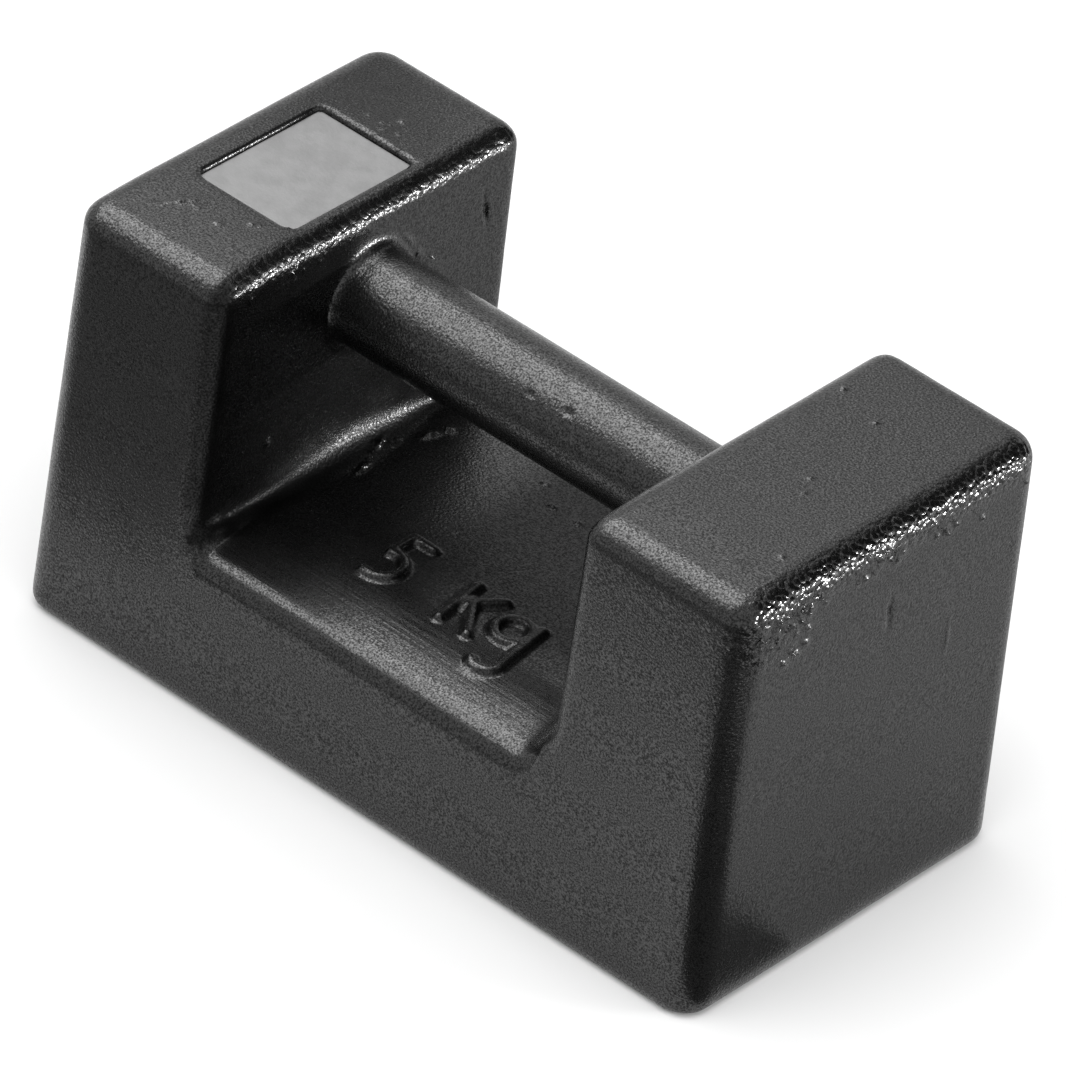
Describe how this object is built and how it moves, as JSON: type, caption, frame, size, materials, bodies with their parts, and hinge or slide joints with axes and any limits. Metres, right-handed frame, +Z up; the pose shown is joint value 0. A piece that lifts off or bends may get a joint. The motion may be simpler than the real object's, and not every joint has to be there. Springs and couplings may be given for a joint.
{
  "type": "calibration weight",
  "caption": "Rectangular cast iron bar weight with two uprights, a cast round handle and a lead-sealed adjusting cavity.",
  "frame": {"origin": "centre of the base's underside", "axes": "+X along the handle, away from the adjusting cavity; +Z up; the front, towards which the mark reads, on -Y"},
  "size_m": [0.152, 0.0798, 0.084],
  "materials": {
    "cast_paint": "semi-gloss black over a rough casting",
    "lead": "dull grey lead, poured and struck flat",
    "steel": "plain mild steel"
  },
  "bodies": {
    "root": {"body_casting": "cast_paint", "closing_plate": "steel", "lead_seal": "lead", "adjusting_shot": "lead"}
  },
  "joints": []
}
